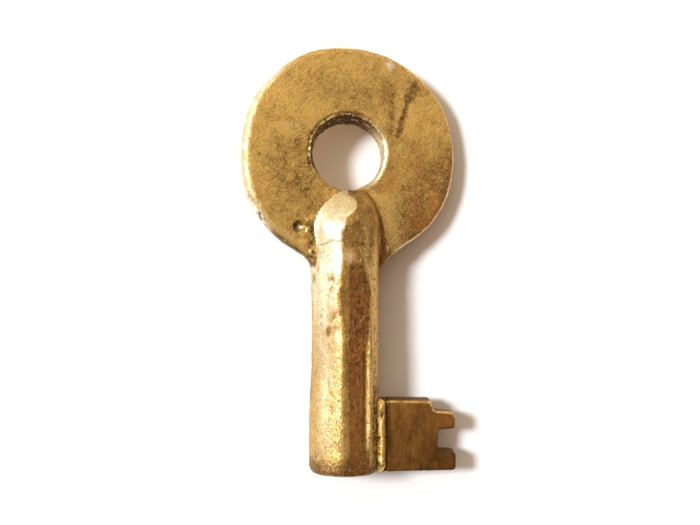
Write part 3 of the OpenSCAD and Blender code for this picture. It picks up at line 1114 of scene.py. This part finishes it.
def patina_group():
    """Brass under its film, stains, rubbed edges and grime, with painted highlights and painted shade among
    them, and how dull each place is.
    """
    labels = ("Mottle", "Specks", "Pepper", "Hairlines", "Lean")
    inputs = {**dict.fromkeys(COLOURS, COLOUR), **dict.fromkeys(labels, NUMBER), "Stretch": VECTOR}
    outputs = {"Color": COLOUR, "Dull": NUMBER, "Metal": NUMBER}
    group, given, out = node_group("Brass patina", inputs, outputs)
    sums = partial(math_node, group)
    place = in_millimetres(group, given["Stretch"])
    mottle = spread(group, noise(group, place, 0.9, 7.0, 0.66), 0.34, 0.66, -0.5, 0.5)
    speck = spread(group, noise(group, place, 4.6, 4.0, 0.72), 0.36, 0.64, -0.5, 0.5)
    hairs = spread(group, line_noise(group, place, given["Lean"], (6.0, 0.7, 2.0)), 0.36, 0.64, -0.5, 0.5)
    film = sums("MULTIPLY_ADD", mottle, given["Mottle"], mask(group, "film"))
    film = sums("MULTIPLY_ADD", hairs, given["Hairlines"], film)
    film = sums("MULTIPLY_ADD", speck, given["Specks"], film, clamp=True)
    bright = sums("MULTIPLY_ADD", speck, -0.35, mask(group, "bright"), clamp=True)
    film = sums("MULTIPLY", film, sums("SUBTRACT", 1.0, bright))
    copper = sums("MULTIPLY_ADD", mottle, 0.6, 1.0)
    copper = sums("MULTIPLY", copper, mask(group, "copper"), clamp=True)
    packed = sums("MULTIPLY_ADD", speck, 0.8, 1.0)
    dirt = sums("MULTIPLY", mask(group, "dirt"), packed, clamp=True)
    pepper = sums("MULTIPLY_ADD", film, 0.2, noise(group, place, 3.1, 5.0, 0.62))
    pepper = spread(group, pepper, 0.66, 0.80)
    dirt = sums("MULTIPLY_ADD", pepper, given["Pepper"], dirt, clamp=True)
    shade = given["Clean"]
    for share, label in zip((bright, film, copper, dirt), COLOURS[1:]):
        shade = mix_colour(group, share, shade, given[label])
    group.links.new(shade, out["Color"])
    dull = sums("MULTIPLY_ADD", film, 0.6, 0.15)
    dull = sums("MULTIPLY_ADD", speck, 0.3, dull)
    group.links.new(sums("MAXIMUM", dull, dirt, clamp=True), out["Dull"])
    metal = sums("SUBTRACT", 1.0, sums("MULTIPLY", dirt, 0.15), clamp=True)
    group.links.new(metal, out["Metal"])
    return group


def skin_group():
    """Fine relief of old brass: cast grain, pin holes and crossing scratches, as a height."""
    inputs = {"Grain": NUMBER, "Pits": NUMBER, "Scratches": NUMBER, "Stretch": VECTOR}
    group, given, out = node_group("Brass skin", inputs, {"Height": NUMBER})
    sums = partial(math_node, group)
    place = in_millimetres(group, given["Stretch"])
    height = sums("MULTIPLY", noise(group, place, 4.5, 5.0, 0.65), given["Grain"])
    values = {"Vector": place, "Scale": 2.6, "Randomness": 1.0}
    cells = add(group, "ShaderNodeTexVoronoi", values).outputs["Distance"]
    holes = spread(group, cells, 0.04, 0.22, -1.0, 0.0)
    where = spread(group, noise(group, place, 0.8, 2.0, 0.5), 0.5, 0.62)
    holes = sums("MULTIPLY", sums("MULTIPLY", holes, where), given["Pits"])
    height = sums("ADD", height, holes)
    for turn in SCRATCH_TURNS:
        lines = line_noise(group, place, turn, (9.0, 0.5, 2.0))
        lines = sums("ABSOLUTE", sums("SUBTRACT", lines, 0.5))
        lines = spread(group, lines, 0.0, 0.02, -1.0, 0.0)
        height = sums("ADD", height, sums("MULTIPLY", lines, given["Scratches"]))
    group.links.new(height, out["Height"])
    return group


def use_group(tree, name, build, values):
    """A shared node group, built when it is first used, with its inputs set for this material."""
    group = bpy.data.node_groups.get(name) or build()
    node = add(tree, "ShaderNodeGroup", node_tree=group)
    for socket in node.inputs:
        socket.default_value = values[socket.name]
    return node


def brass_material(name, values):
    """A brass finish: its own metal, film and values in the shared groups."""
    finish = bpy.context.scene.key_finish
    colours = {label: (*getattr(finish, values[label]), 1.0) for label in COLOURS}
    values = {**values, **colours}
    material = bpy.data.materials.new(name)
    material.use_nodes = True
    tree = material.node_tree
    tree.nodes.clear()
    patina = use_group(tree, "Brass patina", patina_group, values)
    skin = use_group(tree, "Brass skin", skin_group, values)
    relief = {"Height": skin.outputs["Height"], "Strength": 1.0, "Distance": values["Deep"]}
    sockets = {
        "Base Color": patina.outputs["Color"],
        "Metallic": patina.outputs["Metal"],
        "Roughness": spread(tree, patina.outputs["Dull"], 0.0, 1.0, values["Smoothest"], values["Dullest"]),
        "Normal": add(tree, "ShaderNodeBump", relief).outputs[0],
    }
    shader = add(tree, "ShaderNodeBsdfPrincipled", sockets)
    end = add(tree, "ShaderNodeOutputMaterial")
    tree.links.new(shader.outputs[0], end.inputs["Surface"])
    return material


# Finishes: names of the colours, strength of the colour noise, height of the skin, and roughness
BOW_FINISH = {
    "Clean": "bow_clean",
    "Rubbed": "rubbed",
    "Tarnish": "tarnish",
    "Copper": "copper",
    "Grime": "grime",
    "Mottle": 0.25,
    "Specks": 0.72,
    "Pepper": 0.40,
    "Hairlines": 0.24,
    "Lean": 0.7,
    "Grain": 1.0,
    "Pits": 0.8,
    "Scratches": 0.32,
    "Smoothest": 0.28,
    "Dullest": 0.55,
    "Deep": 6e-5,
    "Stretch": (1.0, 1.0, 1.0),
}
BARREL_FINISH = {
    **BOW_FINISH,
    "Clean": "barrel_clean",
    "Tarnish": "barrel_tarnish",
    "Specks": 0.42,
    "Hairlines": 0.20,
    "Lean": 0.0,
    "Grain": 0.8,
    "Smoothest": 0.30,
}
BIT_FINISH = {
    **BOW_FINISH,
    "Clean": "bit_clean",
    "Rubbed": "bit_rubbed",
    "Tarnish": "bit_tarnish",
    "Mottle": 0.34,
    "Specks": 0.10,
    "Pepper": 0.2,
    "Hairlines": 0.20,
    "Lean": 0.0,
    "Grain": 0.5,
    "Stretch": (1.0, 0.7, 1.0),
}
BRAZE_FINISH = {**BOW_FINISH, "Clean": "braze", "Scratches": 0.04, "Smoothest": 0.42, "Dullest": 0.6}


# Operators

class SWITCHKEY_OT_bow(bpy.types.Operator):
    """Builds the round bow with its hanging hole"""

    bl_idname = "switchkey.bow"
    bl_label = "Bow"

    def execute(self, context):
        k = key_sizes()
        material = brass_material("handled_bow_brass", BOW_FINISH)
        far = k.bow_r + 0.6
        low = (k.bow_x - far, k.bow_y - far, -k.bow_half - 0.6)
        high = (k.bow_x + far, k.bow_y + far, k.bow_half + 0.9)
        names = ("bow_ring", "bow", "bow_brass")
        make_piece(k, *names, material, bow_form, bow_relief, paint_bow, (low, high), k.step)
        return {"FINISHED"}


class SWITCHKEY_OT_barrel(bpy.types.Operator):
    """Builds the drilled barrel with its domed, forked head"""

    bl_idname = "switchkey.barrel"
    bl_label = "Barrel"

    def execute(self, context):
        k = key_sizes()
        material = brass_material("filed_barrel_brass", BARREL_FINISH)
        far = k.barrel_r + 0.5
        box = ((-far, -0.5, -far), (far, k.head_y + far, far))
        names = ("barrel_shank", "barrel", "barrel_brass")
        make_piece(k, *names, material, barrel_form, barrel_relief, paint_barrel, box, k.step)
        return {"FINISHED"}


class SWITCHKEY_OT_bit(bpy.types.Operator):
    """Builds the stepped bit with its ward cut"""

    bl_idname = "switchkey.bit"
    bl_label = "Bit"

    def execute(self, context):
        k = key_sizes()
        material = brass_material("dark_bit_brass", BIT_FINISH)
        low = (k.bit_root - 0.5, k.bit_low - 0.5, -k.bit_half - 0.5)
        high = (k.bit_tip + 0.5, k.bit_high + 0.5, k.bit_half + 0.5)
        names = ("bit_plate", "bit", "bit_brass")
        roll = ROLL - k.twist
        make_piece(k, *names, material, bit_form, bit_relief, paint_bit, (low, high), BIT_STEP, roll)
        return {"FINISHED"}


class SWITCHKEY_OT_bit_beads(bpy.types.Operator):
    """Builds the braze beads along the root of the bit, front and back"""

    bl_idname = "switchkey.bit_beads"
    bl_label = "Bit beads"

    def execute(self, context):
        k = key_sizes()
        material = brass_material("bright_braze", BRAZE_FINISH)
        for name, side in BIT_BEADS:
            middle = side * k.bit_half
            low = (k.corner_x - 1.2, k.bit_low - 0.4, middle - 1.2)
            high = (k.corner_x + 1.2, k.bit_high + 0.4, middle + 1.2)
            names = (f"bit_bead_{name}_run", f"bit_bead_{name}", "braze")
            form = partial(bead_form, side)
            roll = ROLL - k.twist
            make_piece(k, *names, material, form, bead_relief, paint_braze, (low, high), BEAD_STEP, roll)
        return {"FINISHED"}


class SWITCHKEY_OT_neck_fillets(bpy.types.Operator):
    """Builds the braze fillets between the bow and the barrel, right and left"""

    bl_idname = "switchkey.neck_fillets"
    bl_label = "Neck fillets"

    def execute(self, context):
        k = key_sizes()
        material = brass_material("neck_braze", BOW_FINISH)
        for name, side, radius in NECK_FILLETS:
            ends = sorted((side * 2.2, side * (k.barrel_r + radius + 2.0)))
            box = ((ends[0], FILLET_LOW - 0.4, -k.bow_half - 0.4), (ends[1], 29.5, k.bow_half + 0.4))
            names = (f"neck_fillet_{name}_run", f"neck_fillet_{name}", "braze")
            form = partial(fillet_form, side, radius)
            make_piece(k, *names, material, form, fillet_relief, paint_bow, box, FILLET_STEP)
        return {"FINISHED"}


def make_table(setup):
    """The white sheet that the key lies on."""
    corners = [(x * TABLE_HALF, y * TABLE_HALF, CAD_LOW.z) for x, y in ((-1, -1), (1, -1), (1, 1), (-1, 1))]
    mesh = bpy.data.meshes.new("table")
    mesh.from_pydata(corners, [], [(0, 1, 2, 3)])
    material = bpy.data.materials.new("white_table")
    material.use_nodes = True
    shader = material.node_tree.nodes["Principled BSDF"]
    values = {"Base Color": (*setup.table, 1), "Roughness": 0.9, "Specular IOR Level": 0.1}
    for label, value in values.items():
        shader.inputs[label].default_value = value
    mesh.materials.append(material)
    table = new_object("table", mesh)


def make_window(setup):
    """The soft light from the upper left."""
    lamp = bpy.data.lights.new("window", "SUN")
    lamp.energy = setup.window_strength
    lamp.angle = setup.window_spread
    lamp.color = setup.window_tint
    window = new_object("window", lamp)
    across = math.cos(setup.window_elevation)
    towards = Vector((WINDOW_WAY[0] * across, WINDOW_WAY[1] * across, math.sin(setup.window_elevation)))
    window.rotation_mode = "QUATERNION"
    window.rotation_quaternion = towards.to_track_quat("Z", "Y")


def make_room(setup):
    """The room round the table, which the brass mirrors: bright by the window, pale low down, dark beyond."""
    world = bpy.data.worlds.new("room")
    world.use_nodes = True
    tree = world.node_tree
    tree.nodes.clear()
    way = add(tree, "ShaderNodeTexCoord").outputs["Generated"]
    values = {0: way, 1: Vector(BRIGHT_WAY).normalized()}
    facing = add(tree, "ShaderNodeVectorMath", values, operation="DOT_PRODUCT").outputs["Value"]
    rise = add(tree, "ShaderNodeSeparateXYZ", {0: way}).outputs["Z"]
    colour = (*setup.dark_side, 1)
    for value, low, high, light in (
        (facing, -0.27, 0.42, setup.bright_side),
        (rise, 0.36, 0.04, setup.low_band),
        (facing, 0.50, 0.90, setup.window_wall),
    ):
        share = spread(tree, value, low, high, kind="SMOOTHSTEP")
        colour = mix_colour(tree, share, colour, (*light, 1))
    shine = add(tree, "ShaderNodeBackground", {"Color": colour, "Strength": 1.0})
    end = add(tree, "ShaderNodeOutputWorld")
    tree.links.new(shine.outputs[0], end.inputs["Surface"])
    return world


def make_camera(setup):
    """The camera that looks straight down on the key."""
    lens = bpy.data.cameras.new("over_the_key")
    lens.sensor_width = SENSOR_WIDTH
    lens.lens = SENSOR_WIDTH * setup.camera_height / setup.view_width
    lens.clip_start = 0.01
    lens.clip_end = 20.0
    camera = new_object("over_the_key", lens)
    camera.location = (*CAMERA_OVER, setup.camera_height)
    return camera


class SWITCHKEY_OT_stage(bpy.types.Operator):
    """Sets the white table, the window light, the room and the camera over the key"""

    bl_idname = "switchkey.stage"
    bl_label = "Table, light and camera"

    def execute(self, context):
        scene = context.scene
        make_table(scene.key_stage)
        make_window(scene.key_stage)
        scene.world = make_room(scene.key_stage)
        scene.camera = make_camera(scene.key_stage)
        scene.view_settings.view_transform = "Standard"
        return {"FINISHED"}


class SWITCHKEY_PT_panel(bpy.types.Panel):
    """Lists the key's pieces and their sizes"""

    bl_idname = "SWITCHKEY_PT_panel"
    bl_label = "Switch Key"
    bl_space_type = "VIEW_3D"
    bl_region_type = "UI"
    bl_category = "Switch Key"

    def draw(self, context):
        for label, group in GROUPS.items():
            box = self.layout.box()
            for name in group.__annotations__:
                box.prop(getattr(context.scene, label), name)
        for operator in OPERATORS:
            self.layout.operator(operator.bl_idname)


OPERATORS = (
    SWITCHKEY_OT_stage,
    SWITCHKEY_OT_bow,
    SWITCHKEY_OT_barrel,
    SWITCHKEY_OT_bit,
    SWITCHKEY_OT_bit_beads,
    SWITCHKEY_OT_neck_fillets,
)
GROUPS = {"key_sizes": KeySizes, "key_finish": KeyFinish, "key_stage": KeyStage}
CLASSES = (*GROUPS.values(), *OPERATORS, SWITCHKEY_PT_panel)


def register():
    for cls in CLASSES:
        bpy.utils.register_class(cls)
    for label, group in GROUPS.items():
        setattr(bpy.types.Scene, label, PointerProperty(type=group))


def unregister():
    for label in GROUPS:
        delattr(bpy.types.Scene, label)
    for cls in reversed(CLASSES):
        bpy.utils.unregister_class(cls)


def main():
    register()
    for operator in OPERATORS:
        area, name = operator.bl_idname.split(".")
        getattr(getattr(bpy.ops, area), name)()


if __name__ == "__main__":
    main()
